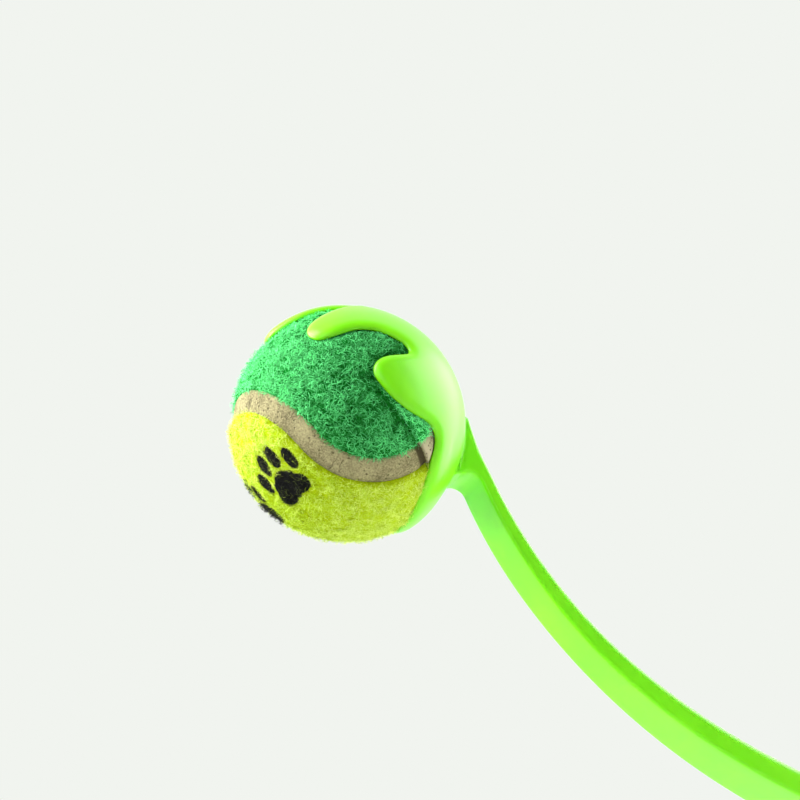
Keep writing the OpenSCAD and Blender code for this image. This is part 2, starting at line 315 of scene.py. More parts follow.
here, fill = finish_of("seam_tape", Roughness=0.85, Specular_IOR_Level=0.2)
lap = here.mark("lap")
tape = here.add("ShaderNodeCombineXYZ", (), {0: here.mark("run"), 1: here.mark("aside") * 0.35})
grain = here.noise(2000, detail=5, rough=0.8)
cloud = here.noise(150, detail=3)
cells = here.add("ShaderNodeTexVoronoi", (), {"Vector": here, "Scale": 820.0})
holes = (1 - cells.step(0.1, 0.3)) * here.noise(300).step(0.44, 0.58)
wrinkles = tape.noise(420, warp=0.6)
veins = tape.noise(300, detail=3, rough=0.6, warp=0.8)
cracks = (1 - abs(veins - 0.5).step(0.004, 0.022)) * here.noise(130).step(0.53, 0.6)
tan = (cloud * 0.3 + grain * 0.7).step(0.36, 0.64).tint(tape_dark, tape_pale)
# Painted light on the lapped end, then the painted shadow beside it.
tan = lap.step(0, 1).tint(tan, tape_lapped_lit)
tan = (lap * -1.0).step(0, 1).tint(tan, tape_shaded)
tan = (holes * 0.7).tint(tan, tape_pit)
tan = (cracks * 0.5).tint(tan, tape_pit)
relief = grain + wrinkles.step(0.35, 0.65) * 0.4 - holes * 1.6 - cracks
seam_tape = fill(Base_Color=tan, Normal=relief.bump(strength=0.9, distance=0.0004))

lap_ends = np.array([[lap_from], [lap_to]]) + (-lap_step, lap_step)
turns = np.sort(np.concatenate([np.linspace(0, 4, 480, endpoint=False), lap_ends.ravel()]))
over = np.linspace(-1, 1, 18)
across = np.concatenate([over, np.linspace(strip_under, -strip_under, 6)])
way = seam(turns[:, None], across[None] * strip_half / felt_radius)
raised = ease((clear_of_cup(way) + tape_press_from) / tape_press_over)
# The lapped end rises and is painted paler; beside it the tape sags and carries a painted shadow.
lapped = ease((turns - lap_from) / (lap_to - lap_from)) * (turns < lap_to)
shaded = ease((lap_shade - (turns - lap_to) * quarter_run) / lap_shade_fade) * (turns > lap_to)
rise = lap_rise * (lapped - lap_sag * shaded)[:, None]
top = felt_radius + (strip_top - felt_radius + rise) * raised
top = top - strip_roll * np.abs(across) ** strip_roll_power
radius = np.where(np.arange(len(across)) < len(over), top, strip_bed)
unrolled = np.broadcast_arrays(turns[:, None] * quarter_run, across[None] * strip_half)
# Its lap mark carries that painted light, less the painted shadow.
piece("seam_tape_loop", seat + (way * radius[..., None]).reshape(-1, 3),
      grid(len(turns), len(across), True, True)[:, ::-1], seam_tape, "ball", "seam_tape",
      "seam_strip", run=unrolled[0], aside=unrolled[1],
      lap=(lapped - shaded)[:, None] + 0 * across[None])

# Felt panels: two like dumb-bell shapes of needled wool and nylon, glued to the core.
# Each has a lumpy skin, painted darker than its fibres as shade between them, under a nap of loose
# curled fibres.
green, yellow = -1, 1
felt_proud = {green: 0.0008, yellow: 0.0017}
felt_deep = 0.0022
felt_edge, edge_drift = 0.00305, 0.0005
edge_roll, edge_drop = 0.0011, 0.0014
lump_waves = ((19, 1, 0.4, -0.3), (23, -0.5, 1, 0.6), (31, 0.3, -0.7, 1), (41, 0.8, 0.7, 0.5))
lump_share = 0.05
lip_at, lip_over = 125, 25  # degrees
press_from, press_over = 0.0003, 0.0032
lip_press_from, lip_press_less = 0.0012, 0.0020
finger_press_more, finger_press_spread = 0.003, 0.5
flap_side = np.array([0.9862, -0.0756, 0.147])
flap_middle = np.array([-0.003, -0.8972, -0.4415])
flap_half, flap_fade = 0.017, 0.006
flap_rise, flap_rise_over = 0.0006, 0.0009
flap_slope, flap_slope_over = 0.22, 0.005
flap_groove, flap_groove_half = 0.0008, 0.0007
# Painted light: the felt is painted paler along this axis, towards the ball's top and bottom.
painted_light_axis = np.array([-0.315, 0.06, 0.947])
painted_light_gain, painted_light_from = 0.75, 0.3
# Painted light past the lap, and painted shade where the lap casts its shadow.
flap_painted_light, flap_painted_shade, flap_painted_shade_over = 0.8, 0.9, 0.004
clump_spread, root_margin, root_rise = 0.0005, 0.0003, 0.00006
roots_drawn = 2.7
loose_share, lift_power, pressed_lift = 0.4, 1.5, 0.2
arch_from, arch_over = 0.15, 0.75
fibre_lean, fibre_taper = 0.6, 0.55
chance = np.random.default_rng(7)


def yellow_side(direction):
    """The angle of each direction from the seam's middle, above 0 on the yellow panel."""
    x, y, z = np.moveaxis(direction @ ball_axes, -1, 0)
    to_yellow = np.arccos(np.clip(np.abs(x), 0, 1))
    to_green = np.arccos(np.clip(np.abs(y), 0, 1))
    return np.where(z < 0, to_green - np.pi / 4, np.pi / 4 - to_yellow)


def edge_of_felt(direction):
    """Distance of a panel's edge from the seam's middle: the strip shows wider where the green
    lobes turn and narrower where the yellow ones do."""
    return felt_edge - edge_drift * (direction @ ball_axes[:, 2])


def open_felt(direction):
    """1 where the nap stands free and 0 where the cup presses it, which it does for longer beside
    the top finger and only inside the edge of the lip below."""
    turn = np.abs(within_half(aimed(direction)[0]))
    lip = ease((np.degrees(turn) - lip_at) / lip_over)
    press = press_over - lip_press_less * lip \
        + finger_press_more * np.exp(-(turn / finger_press_spread) ** 2)
    return ease((clear_of_cup(direction) + press_from + lip_press_from * lip) / press)


def past_lap(direction):
    """How far each direction lies past the line where the cover laps over itself, in metres, and
    how near it is to that line's middle, from 0 to 1."""
    away = np.arccos(np.clip(direction @ flap_middle, -1, 1)) * felt_radius
    return np.arcsin(direction @ flap_side) * felt_radius, ease((flap_half - away) / flap_fade)


def felt_height(direction, side):
    """Radius of a panel's skin: proud where it is open, pressed under the cup, grooved at the lap
    and rising past it, rolled down at the panel's edge, and lumpy from a sum of slow waves."""
    x, y, z = np.moveaxis(direction, -1, 0)
    lumps = sum(np.sin(k * (a * x + b * y + c * z) + k) for k, a, b, c in lump_waves)
    edge = (side * yellow_side(direction) * felt_radius - edge_of_felt(direction)) / edge_roll
    past, near = past_lap(direction)
    flap = flap_rise * ease(past / flap_rise_over + 0.5) \
        + flap_slope * np.clip(past, 0, flap_slope_over) \
        - flap_groove * np.exp(-(past / flap_groove_half) ** 2)
    proud = felt_proud[side] * (1 + lump_share * lumps) + flap * near
    return felt_radius + proud * open_felt(direction) \
        - edge_drop * (1 - np.sqrt(np.clip(edge, 0, 1)))


def panel(side):
    """Directions over a panel: stations along its long axis from lobe to lobe, each spread
    evenly from one long edge to its mirror image. The edge is the seam moved aside."""
    a = np.linspace(0.5 + 1e-3, 2.5 - 1e-3, 220)
    level = (seam(a, 0) @ ball_axes)[:, 2]
    edge = seam(a, -(felt_edge + side * edge_drift * level) / felt_radius) @ ball_axes
    lengthwise = np.arctan2(edge[:, 1], edge[:, 2])[:, None]
    crosswise = np.arcsin(edge[:, 0])[:, None] * np.linspace(1, -1, 90)[None]
    way = np.stack([np.sin(crosswise), np.cos(crosswise) * np.sin(lengthwise),
                    np.cos(crosswise) * np.cos(lengthwise)], -1)
    if side == yellow:
        way = way[..., [1, 0, 2]] * (1, 1, -1)
    return way @ ball_axes.T


def lit(direction):
    """A shift of shade painted on the felt: painted light towards the ball's top and bottom,
    painted shade where the lap casts its shadow, and painted light past it."""
    past, near = past_lap(direction)
    return painted_light_gain * (np.abs(direction @ painted_light_axis) - painted_light_from) \
        + near * np.where(past > 0, flap_painted_light, -flap_painted_shade * ease(1 + past / flap_painted_shade_over))


def skin(name, side, material, slot, node):
    """A panel's skin as a closed sheet: the outer grid, then the same grid at the core."""
    way = panel(side)
    rows, columns = way.shape[:2]
    outer = way * felt_height(way, side)[..., None]
    inner = way[:, ::-1] * (felt_radius - felt_deep)
    both = np.concatenate([outer, inner], 1)
    # The skin carries the painted light and shade as a mark for its bed.
    return piece(name, seat + both.reshape(-1, 3), grid(rows, 2 * columns, False, True), material,
                 "ball", slot, node, tone=np.concatenate([lit(way), lit(way[:, ::-1])], 1))


def fibres(name, side, material, slot, count, stations, long, wide, high, curl, **marks):
    """A nap of flat curled fibres: roots in loose clumps on the panel, each fibre running along the
    felt with a turning heading while its height follows an arch or, if loose, a rising tip. More
    roots are drawn than needed, because some fall outside the panel."""
    clump = chance.normal(size=(count // 2, 3))
    clump /= np.linalg.norm(clump, axis=1)[:, None]
    root = clump[chance.integers(0, len(clump), int(count * roots_drawn))]
    root = root + chance.normal(size=root.shape) * clump_spread / felt_radius
    root /= np.linalg.norm(root, axis=1)[:, None]
    from_seam = side * yellow_side(root) * felt_radius
    root = root[from_seam > edge_of_felt(root) + root_margin][:count]
    count = len(root)
    along = np.linspace(0, 1, stations)[None]
    one = np.cross(root, chance.normal(size=(count, 3)))
    one /= np.linalg.norm(one, axis=1)[:, None]
    two = np.cross(root, one)
    length = chance.uniform(*long, (count, 1))
    heading = curl * chance.normal(size=(count, 1)) * along
    pace = length[..., None] / (stations - 1) * (np.cos(heading)[..., None] * one[:, None]
                                                 + np.sin(heading)[..., None] * two[:, None])
    path = np.cumsum(pace, 1) - pace
    loose = chance.random((count, 1)) < loose_share
    lift = chance.random((count, 1)) ** lift_power * high
    lift = lift * (pressed_lift + (1 - pressed_lift) * open_felt(root))[:, None]
    height = lift * np.where(loose, along, np.sin(np.pi * (arch_from + arch_over * along)))
    base = felt_height(root, side)[:, None] + root_rise
    way = root[:, None] + path / base[..., None]
    way /= np.linalg.norm(way, axis=-1, keepdims=True)
    spine = way * (base + height)[..., None]
    lean = chance.uniform(-fibre_lean, fibre_lean, (count, 1, 1))
    flat = -np.sin(heading)[..., None] * one[:, None] + np.cos(heading)[..., None] * two[:, None]
    rib = np.cos(lean) * flat + np.sin(lean) * way
    half = chance.uniform(*wide, (count, 1)) / 2 * (1 - fibre_taper * along)
    points = np.stack([spine + rib * half[..., None], spine - rib * half[..., None]], 2)
    faces = grid(stations, 2)[None] + 2 * stations * np.arange(count)[:, None, None]
    each = {mark: np.repeat(rule(way), 2) for mark, rule in marks.items()}
    return piece(name, seat + points.reshape(-1, 3), faces.reshape(-1, 4), material, "ball", slot,
                 **each)


# Green panel: the upper dumb-bell of felt, glued to the core with its edges beside the tape.
# Its taller loose curls get paler tones than the nap, painted light on top of it, over a bed
# painted a deeper green, as shade between the fibres.
green_bed_dark, green_bed_pale = (0, 60, 10), (5, 136, 36)
green_dark, green_pale = (0, 124, 24), (118, 255, 154)
nap_tones, curl_tones = (0.0, 0.4), (0.4, 0.8)
palest_share = 0.4


def nap_tone(way):
    """A random lightness for each fibre, from dark to middling, with the painted light and shade of
    the felt added.
    """
    return np.repeat(chance.uniform(*nap_tones, len(way)) + lit(way[:, 0]), way.shape[1])


def curl_tone(way):
    """A random lightness for each fibre, from middling to pale, with two in five palest, as painted
    light on the taller curls, and the painted light and shade of the felt added.
    """
    tone = np.where(chance.random(len(way)) < palest_share, 1,
                    chance.uniform(*curl_tones, len(way)))
    return np.repeat(tone + lit(way[:, 0]), way.shape[1])


here, fill = finish_of("green_felt_bed", Roughness=0.95, Specular_IOR_Level=0.1)
tuft = here.noise(1500, detail=4, rough=0.75, warp=1.5)
# The bed's mark adds the painted light and shade, and its colours are painted darker than the
# fibres, as shade between them.
bed = (tuft * 0.8 + here.noise(240) * 0.3 + here.mark("tone") * 0.3).step(0.35, 0.75)
green_bed = fill(Base_Color=bed.tint(green_bed_dark, green_bed_pale),
                 Normal=tuft.bump(strength=0.9, distance=0.0006))
skin("green_felt_skin", green, green_bed, "green_felt", "felt_green")

here, fill = finish_of("green_fibre", Roughness=0.75, Specular_IOR_Level=0.15)
# The fibres' mark carries their random lightness with the painted light and shade added.
strand = here.mark("tone") * 0.8 + here.noise(700) * 0.4 - 0.1
green_fibre = fill(Base_Color=strand.tint(green_dark, green_pale))
fibres("green_felt_nap", green, green_fibre, "green_felt", count=22000, stations=4,
       long=(0.0010, 0.0024), wide=(0.00010, 0.00015), high=0.0006, curl=1.0, tone=nap_tone)
fibres("green_felt_curls", green, green_fibre, "green_felt", count=14000, stations=5,
       long=(0.0008, 0.0022), wide=(0.00013, 0.00019), high=0.0014, curl=1.4, tone=curl_tone)

# Yellow panel: the lower dumb-bell of felt, glued on in the same way, with a closer nap that is
# printed with two rows of plain black paw marks. The ink sits on the fibres, so its edges are
# ragged, and worn or bare fibres cross it. Inked fibres get painted highlights, and the bed is
# painted darker than the fibres, as shade between them.
# The bed's colours are painted darker than the fibres', as shade between them.
yellow_bed_dark, yellow_bed_pale = (129, 155, 1), (203, 230, 16)
yellow_dark, yellow_pale = (191, 225, 4), (238, 255, 122)
# The pale ink colour is a painted highlight on inked fibres.
ink_on_bed, ink_dark, ink_highlight = (16, 17, 16), (14, 15, 14), (42, 44, 38)
ink_ragged, ink_worn = 0.08, 0.86
bare_share, worn_share = 0.01, 0.16
paw_from_middle = np.radians(19.8)
paw_low = 0.0054
paw_pads = ((0, 0.0015, 0.0037, 0.0037), (0.0034, -0.0012, 0.0030, 0.0030),
            (0, -0.0008, 0.0046, 0.0029), (0.0019, 0.0010, 0.0031, 0.0029),
            (0.00225, 0.0089, 0.0018, 0.0034), (0.0065, 0.0054, 0.0018, 0.0034))


def paw_ink(x, y):
    """How deep a point lies in the ink, above 0 inside: the greatest over the pads of
    1 - (x / width)^2 - (y / length)^2 about each pad's middle. It takes arrays and sockets."""
    depth = -9.0
    for across, up, width, length in paw_pads:
        inside = 1 - ((x - across) / width) ** 2 - ((y - up) / length) ** 2
        depth = (depth + inside + abs(depth - inside)) / 2
    return depth


def inked(way):
    """1 where a fibre passes through a paw mark, with some fibres worn and a few left bare."""
    x, y, z = np.moveaxis(way @ ball_axes, -1, 0)
    azimuth = np.abs(np.abs(np.arctan2(y, np.abs(x))) - paw_from_middle)
    depth = paw_ink(azimuth * felt_radius, np.arcsin(z) * felt_radius + paw_low)
    depth = depth + ink_ragged * chance.normal(size=(len(way), 1))
    luck = chance.random((len(way), 1))
    return (depth > 0) * np.where(luck < bare_share, 0, np.where(luck < worn_share, ink_worn, 1))


here, fill = finish_of("yellow_felt_bed", Roughness=0.95, Specular_IOR_Level=0.1)
tuft = here.noise(1900, detail=4, rough=0.75, warp=1.2)
# The bed's mark adds the painted light and shade.
bed = (tuft * 0.8 + here.noise(260) * 0.3 + here.mark("tone") * 0.2).step(0.3, 0.75)
bed = bed.tint(yellow_bed_dark, yellow_bed_pale)
east, north, up = (here.dot(axis) - float(seat @ axis) for axis in ball_axes.T)
paw_azimuth = abs(abs(here.math("ARCTAN2", north, abs(east))) - float(paw_from_middle))
ink = paw_ink(paw_azimuth * felt_radius, up + paw_low)
ink = (ink + (tuft - 0.5) * 0.3).step(-0.05, 0.08)
yellow_bed = fill(Base_Color=ink.tint(bed, ink_on_bed),
                  Normal=tuft.bump(strength=0.9, distance=0.0005))
skin("yellow_felt_skin", yellow, yellow_bed, "yellow_felt", "felt_yellow")

here, fill = finish_of("yellow_fibre", Roughness=0.75, Specular_IOR_Level=0.15)
tone = here.mark("tone")
# The fibres' mark carries their random lightness with the painted light and shade added.
strand = (tone * 0.8 + here.noise(700) * 0.4 - 0.1).tint(yellow_dark, yellow_pale)
# Inked fibres run from the dark ink to a painted highlight, following their mark.
strand = here.mark("ink").tint(strand, tone.tint(ink_dark, ink_highlight))
yellow_fibre = fill(Base_Color=strand)
fibres("yellow_felt_nap", yellow, yellow_fibre, "yellow_felt", count=22000, stations=4,
       long=(0.0009, 0.0020), wide=(0.00008, 0.00013), high=0.0006, curl=1.0,
       tone=nap_tone, ink=inked)
fibres("yellow_felt_curls", yellow, yellow_fibre, "yellow_felt", count=12000, stations=5,
       long=(0.0008, 0.0020), wide=(0.00011, 0.00017), high=0.0012, curl=1.6,
       tone=curl_tone, ink=inked)

# Cup: the moulded end of the stick, a springy shell of lime polypropylene.
# A top finger, two side fingers, two ears and a lip hold the ball; every edge is rolled over.
cup_outer, cup_inner = 0.0331, 0.0313
cup_roll, roll_room = 0.0030, 0.8
bend_reach, room_reach, roll_reach = 4, 10, 14
lip_flare, top_flare = 0.0010, 0.0005
top_flare_at, top_flare_over = 28, 12  # degrees
flare_from = 0.75
edge_wall, edge_break, inner_inset = 0.0003, 0.0001, 0.0004
ring_waits, ring_follows = 0.97, 0.03
lime_dark, lime_pale = (125, 234, 6), (136, 243, 16)

here, fill = finish_of("lime_plastic", Roughness=0.34, Subsurface_Weight=0.25,
                       Subsurface_Radius=(0.5, 1.0, 0.2), Subsurface_Scale=0.005,
                       Specular_IOR_Level=0.45)
flow = here.noise(60, detail=3, rough=0.55, warp=0.6)
satin = here.noise(2600)
lime_plastic = fill(Base_Color=flow.step(0.3, 0.7).tint(lime_dark, lime_pale),
                    Roughness=flow * 0.12 + satin * 0.08 + 0.27,
                    Normal=satin.bump(strength=0.08, distance=0.00008))

edge = aim(rim_azimuth, rim_reach)
ahead = np.roll(edge, -1, 0) - np.roll(edge, 1, 0)
ahead /= np.linalg.norm(ahead, axis=1)[:, None]
outward = np.cross(ahead, edge)
paces = np.linalg.norm(np.diff(edge, axis=0, append=edge[:1]), axis=1)
walked = np.concatenate([[0], np.cumsum(paces)])
spots = np.linspace(0, walked[-1], 900, endpoint=False)


def sampled(values):
    """Values round the rim, read off at even steps along it."""
    looped = np.concatenate([values, values[:1]])
    return np.stack([np.interp(spots, walked, column) for column in looped.T], -1)


def change(values, reach):
    """The change of values round the rim, from as many steps behind to as many ahead."""
    return np.roll(values, -reach, 0) - np.roll(values, reach, 0)


def nearby(values, reach):
    """Values round the rim beside those of all the spots within that many steps."""
    return [np.roll(values, k) for k in range(-reach, reach + 1)]


edge, outward = sampled(edge), sampled(outward)
rim_turn = np.unwrap(aimed(edge)[0])
from_top = np.abs(np.arctan2(-edge[:, 1], edge[:, 2]))
flare = lip_flare * ease((from_top - np.radians(lip_at)) / np.radians(lip_over)) \
    + top_flare * ease((np.radians(top_flare_at) - from_top) / np.radians(top_flare_over))
spot_step = walked[-1] / len(edge)
turning = (change(outward, bend_reach) * change(edge, bend_reach)).sum(1) \
    / (2 * bend_reach * spot_step) ** 2
room = np.minimum(cup_roll, roll_room * cup_outer / np.maximum(turning, 1e-3))
room = np.min(nearby(room, room_reach), 0)
roll = np.mean(nearby(room, roll_reach), 0)[:, None]


def shell_row(share, inset, depth):
    """One ring of the cup: the rim moved in along the shell by inset, then drawn back along great
    circles to that share of its reach, at that depth under the outer face. Where the moved rim
    would run back on itself, it waits."""
    way = edge - outward * inset / cup_outer
    way /= np.linalg.norm(way, axis=1)[:, None]
    round_axis, reach = aimed(way)
    round_axis = ring_waits * np.maximum.accumulate(np.unwrap(round_axis)) \
        + ring_follows * rim_turn
    out = cup_outer - depth + flare * ease((share - flare_from) / (1 - flare_from))
    return aim(round_axis, reach * share) * out[:, None]


shares = np.linspace(0, 1, 26)[1:]
bend = np.linspace(0, np.pi / 2, 8)[1:]
wall = cup_outer - cup_inner
rows = [shell_row(share, roll, 0) for share in shares]
rows += [shell_row(1, roll * (1 - np.sin(a)), (wall - edge_wall) * (1 - np.cos(a))) for a in bend]
rows += [shell_row(1, edge_break, wall - edge_break), shell_row(1, inner_inset, wall)]
rows += [shell_row(share, inner_inset, wall) for share in shares[-2::-1]]
outer_pole, inner_pole = [np.repeat([[radius, 0, 0]], len(edge), 0)
                          for radius in (cup_outer, cup_inner)]
points = np.concatenate([outer_pole, *rows, inner_pole])
cup = piece("cup_shell", seat + points, grid(len(rows) + 2, len(edge), False, True), lime_plastic,
            "launcher", "lime_plastic", "cup")


def weld(thing):
    """Joins the points of a piece that lie in one place, which closes its poles and seams."""
    work = bmesh.new()
    work.from_mesh(thing.data)
    bmesh.ops.remove_doubles(work, verts=work.verts, dist=1e-7)
    work.to_mesh(thing.data)
    work.free()


weld(cup)

# Stick: the flat springy arm and the hand grip, moulded in one with the cup.
# The arm is a strap that widens and thickens on its way down, and runs on into an oval grip
# with finger grooves on its front and a flattened butt with a hang hole.
arm_length, arm_overlap = 0.300, 0.004
arm_bend = 0.119
arm_lean = np.radians(21.7)
arm_drop, arm_sink = 0.505, 0.0004
arm_thick = (0.0030, 0.0094)
arm_wide = (0.0147, 0.0216)
widen_from, widen_over = 0.060, 0.107
arm_corner, corner_limit = 0.0011, 0.45
back_round, round_limit = 0.0026, 0.6
fillet, fillet_after = 0.0046, 0.002
root_share, root_widen_over = 0.75, 0.008
root_flare, root_flare_power = 0.0010, 3
root_sink, root_sink_over = 0.0012, 0.012
grip_length = 0.122
grip_wide, grip_thick, grip_waist = 0.027, 0.023, 0.0012
swell_over = 0.3
groove_depth, groove_pitch = 0.0016, 0.15
grooves_from, grooves_to = 0.2, 0.8
butt_wide, butt_share = 0.011, 0.35
butt_thin_from, butt_thin_over = 0.66, 0.24
butt_round_from, butt_round_over = 0.93, 0.07
oval_power = 0.75
ring_square, ring_round = 0.9, 0.1
hole_radius, hole_inset, hole_lip = 0.004, 0.011, 0.0012
cutter_half = 0.008

walk = np.linspace(-arm_overlap, arm_length, 1217)
lean = -arm_lean + walk / arm_bend * (1 - walk / (2 * arm_length))
along = np.stack([np.sin(lean), -np.cos(lean)], -1)
back = np.stack([np.cos(lean), np.sin(lean)], -1)
line = np.cumsum(along, 0) * (walk[1] - walk[0])
line += (cup_outer - arm_sink) * np.array([np.sqrt(1 - arm_drop ** 2), -arm_drop]) \
    - line[np.searchsorted(walk, 0)]
thick = arm_thick[0] + (arm_thick[1] - arm_thick[0]) * np.sin(np.pi / 2 * walk / arm_length)


def on_arm(s, values):
    """Values of the arm's centre line, read off at distances s along it."""
    return np.stack([np.interp(s, walk, column) for column in values.T], -1)


# In front, a fillet rolls from the cup into the arm: its middle is the first spot that is one
# fillet away from both. Behind, a straight heel climbs from the arm to touch the cup.
front_face = line - back * thick[:, None] / 2
back_face = line + back * thick[:, None] / 2
fillet_way = front_face - back * fillet
clear = np.linalg.norm(fillet_way, axis=1) > cup_outer + fillet
meet = walk[np.argmax(clear & (walk > fillet_after))]
pit = on_arm(np.array([meet]), fillet_way)[0]
start = np.arctan2(-pit[1], -pit[0])
stop = np.arctan2(*on_arm(np.array([meet]), back)[0][::-1])
stop = start + within_half(stop - start)

root_steps = np.linspace(0, 1, 60)
swing = start + (stop - start) * root_steps
root_front = pit + fillet * np.stack([np.cos(swing), np.sin(swing)], -1)
root_s = -arm_overlap + (meet + arm_overlap) * root_steps
heel = on_arm(np.zeros(1), back_face)[0]
heel_turn = np.arctan2(heel[1], heel[0]) + np.arccos(cup_outer / np.linalg.norm(heel))
touch = cup_outer * np.array([np.cos(heel_turn), np.sin(heel_turn)])
climb = np.linalg.norm(touch - heel)
heel_s = -climb + (meet + climb) * root_steps
root_rear = on_arm(np.maximum(heel_s, 0), back_face) \
    + (touch - heel) * np.maximum(-heel_s, 0)[:, None] / climb
arm_s = np.linspace(meet, arm_length, 170)[1:]
grip_t = np.linspace(0, 1, 130)[1:]

grip_way, grip_back = along[-1], back[-1]
swell = ease(grip_t / swell_over)
closing = np.clip((grip_t - butt_round_from) / butt_round_over, 0, 1)
butt = np.sqrt(np.clip(1 - closing ** 2, 0, 1))
half_thick = (arm_thick[1] + (grip_thick - arm_thick[1]) * swell) / 2 \
    - grip_waist * np.sin(np.pi * grip_t)
groove_wave = 0.5 - 0.5 * np.cos(2 * np.pi * (grip_t - grooves_from) / groove_pitch)
grooved = np.where((grip_t > grooves_from) & (grip_t < grooves_to), groove_depth * groove_wave, 0)
grip_line = line[-1] + grip_way * grip_length * grip_t[:, None]
front = np.concatenate([root_front, on_arm(arm_s, front_face),
                        grip_line - grip_back * (half_thick * butt - grooved)[:, None]])
rear = np.concatenate([root_rear, on_arm(arm_s, back_face),
                       grip_line + grip_back * (half_thick * butt)[:, None]])
arm_run = np.concatenate([root_s, arm_s])
widened = ease((arm_run - widen_from) / widen_over)
arm_half = (arm_wide[0] + (arm_wide[1] - arm_wide[0]) * widened) / 2
arm_half = arm_half * (root_share + (1 - root_share) * ease((arm_run + arm_overlap)
                                                            / root_widen_over))
thinned = ease((grip_t - butt_thin_from) / butt_thin_over)
grip_half = (arm_wide[1] + (grip_wide - arm_wide[1]) * swell + (butt_wide - grip_wide) * thinned) \
    / 2 * (butt_share + (1 - butt_share) * butt)
half_wide = np.concatenate([arm_half, grip_half])[:, None]
half_deep = np.linalg.norm(front - rear, axis=1)[:, None] / 2
oval = np.concatenate([np.zeros(len(arm_run)), swell])[:, None]

# The section is a ring of stretches, each with the signs of its corner and its outward angle:
# four rounded corners with the flats between them, which turns into an oval along the grip.
quarter = np.linspace(0, np.pi / 2, 7)
flats, sides = np.linspace(-1, 1, 9)[1:-1], np.linspace(1, -1, 5)[1:-1]
stretches = ((1, 1, quarter), (sides, 1, np.pi / 2), (-1, 1, quarter + np.pi / 2),
             (-1, flats[::-1], np.pi), (-1, -1, quarter + np.pi), (-sides, -1, 1.5 * np.pi),
             (1, -1, quarter + 1.5 * np.pi), (1, flats, 0))
corner_x, corner_y, angle = [np.concatenate(values) for values in
                             zip(*(np.broadcast_arrays(*stretch) for stretch in stretches))]
corner = np.minimum(arm_corner, corner_limit * half_deep) * (1 + corner_x) / 2 \
    + np.minimum(back_round, round_limit * half_deep) * (1 - corner_x) / 2
box_x, box_y = [sign * (half - corner) + corner * part(angle) for sign, half, part in
                ((corner_x, half_deep, np.cos), (corner_y, half_wide, np.sin))]
spin = np.arctan2(corner_y * ring_square + ring_round * np.sin(angle),
                  corner_x * ring_square + ring_round * np.cos(angle))
oval_x, oval_y = [half * np.sign(part(spin)) * np.abs(part(spin)) ** oval_power for half, part in
                  ((half_deep, np.cos), (half_wide, np.sin))]
local_x = box_x * (1 - oval) + oval_x * oval
local_y = box_y * (1 - oval) + oval_y * oval
forward = (front - rear) / np.maximum(np.linalg.norm(front - rear, axis=1), 1e-9)[:, None]
flank = ((front + rear) / 2)[:, None] + forward[:, None] * local_x[..., None]
points = np.stack([flank[..., 0], local_y, flank[..., 1]], -1)

# The root spreads sideways where it comes down on the cup, and sinks into it.
row_run = np.concatenate([arm_run, np.full(len(grip_t), arm_length)])[:, None]
gap = np.linalg.norm(points, axis=-1) - cup_outer \
    - root_sink * (1 - ease((row_run + arm_overlap) / root_sink_over))
near = np.clip(gap, 0, root_flare)
points[..., 1] += (root_flare - np.sqrt(root_flare ** 2 - (root_flare - near) ** 2)) \
    * np.abs(local_y / half_wide) ** root_flare_power * np.sign(local_y)
held = ((cup_outer + gap) / np.linalg.norm(points, axis=-1))[..., None]
points *= np.where(gap[..., None] < root_flare, held, 1)
cap = np.broadcast_to(points[0].mean(0), points[:1].shape)
points = np.concatenate([cap, points])
stick = piece("stick_arm_and_grip", seat + points.reshape(-1, 3),
              grid(*points.shape[:2], False, True), lime_plastic, "launcher", "lime_plastic",
              "arm", "handle")
weld(stick)

# The hang hole is cut by a spool that flares at both faces of the butt.
hole_at = line[-1] + grip_way * (grip_length - hole_inset)
depth = np.linspace(-cutter_half, cutter_half, 41)
opening = np.clip((np.abs(depth) - butt_wide / 2 + hole_lip) / hole_lip, 0, 1)
bore = hole_radius + hole_lip * (1 - np.sqrt(np.clip(1 - opening ** 2, 0, 1)))
bore = np.concatenate([[0], bore, [0]])[:, None]
depth = np.concatenate([depth[:1], depth, depth[-1:]])[:, None]
circle = np.linspace(0, 2 * np.pi, 64, endpoint=False)
spool = np.stack([hole_at[0] + bore * np.cos(circle), depth + 0 * circle,
                  hole_at[1] + bore * np.sin(circle)], -1)
spool_mesh = bpy.data.meshes.new("hang_hole_cutter")
spool_mesh.from_pydata((seat + spool).reshape(-1, 3).tolist(), [],
                       grid(len(depth), len(circle), False, True)[:, ::-1].tolist())
cutter = bpy.data.objects.new("hang_hole_cutter", spool_mesh)
bpy.context.scene.collection.objects.link(cutter)
weld(cutter)
cut = stick.modifiers.new("hang_hole", "BOOLEAN")
cut.operation, cut.solver, cut.object = "DIFFERENCE", "EXACT", cutter
graph = bpy.context.evaluated_depsgraph_get()
holed = bpy.data.meshes.new_from_object(stick.evaluated_get(graph))
stick.modifiers.clear()
stick.data = holed
holed.set_sharp_from_angle(angle=np.radians(40))
bpy.data.objects.remove(cutter)

